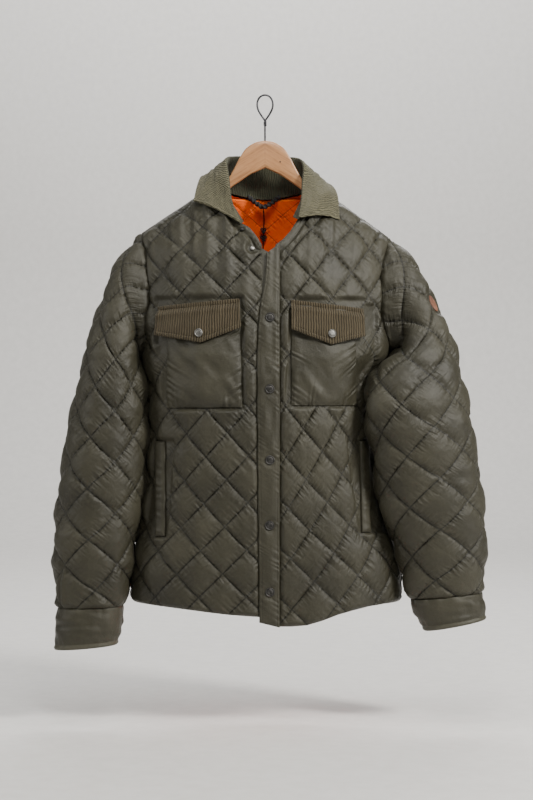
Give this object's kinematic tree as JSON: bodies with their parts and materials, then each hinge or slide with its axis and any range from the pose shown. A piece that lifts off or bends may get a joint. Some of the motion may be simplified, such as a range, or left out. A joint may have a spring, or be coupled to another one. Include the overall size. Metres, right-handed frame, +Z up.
{
  "type": "quilted jacket on a wooden hanger",
  "caption": "Diamond-quilted shirt jacket with corduroy collar and pocket flaps, snap front and orange lining, hanging open at the neck on a wooden hanger with a steel hook.",
  "frame": {"origin": "inside top of the hanger hook's closed eye, where a nail or cord carries it", "axes": "+Z up, the jacket's front faces -Y, +X to the wearer's left"},
  "size_m": [0.7128, 0.2427, 0.92],
  "materials": {
    "shell": "olive grey quilted nylon with a low sheen",
    "collar_cord": "olive grey corduroy",
    "flap_cord": "khaki brown corduroy",
    "lining": "bright orange quilted nylon",
    "tape": "black cotton tape",
    "stud": "gunmetal",
    "wood": "satin beech",
    "steel": "dark steel wire",
    "patch": "tan brown leather"
  },
  "bodies": {
    "root": {"front_left": "shell", "front_right": "shell", "back": "shell", "sleeve_left": "shell", "sleeve_right": "shell", "cuff_left": "shell", "cuff_right": "shell", "front_band": "shell", "under_band": "shell", "pocket_left": "shell", "pocket_right": "shell", "welt_left": "shell", "welt_right": "shell", "collar_leaf": "collar_cord", "collar_stand": "collar_cord", "flap_left": "flap_cord", "flap_right": "flap_cord", "lining_back": "lining", "locker_loop": "tape", "hanger_bar": "wood", "hanger_hook": "steel", "patch": "patch", "stud_1": "stud", "stud_2": "stud", "stud_3": "stud", "stud_4": "stud", "stud_5": "stud", "flap_stud_left": "stud", "flap_stud_right": "stud", "socket_1": "stud", "socket_2": "stud"}
  },
  "joints": []
}
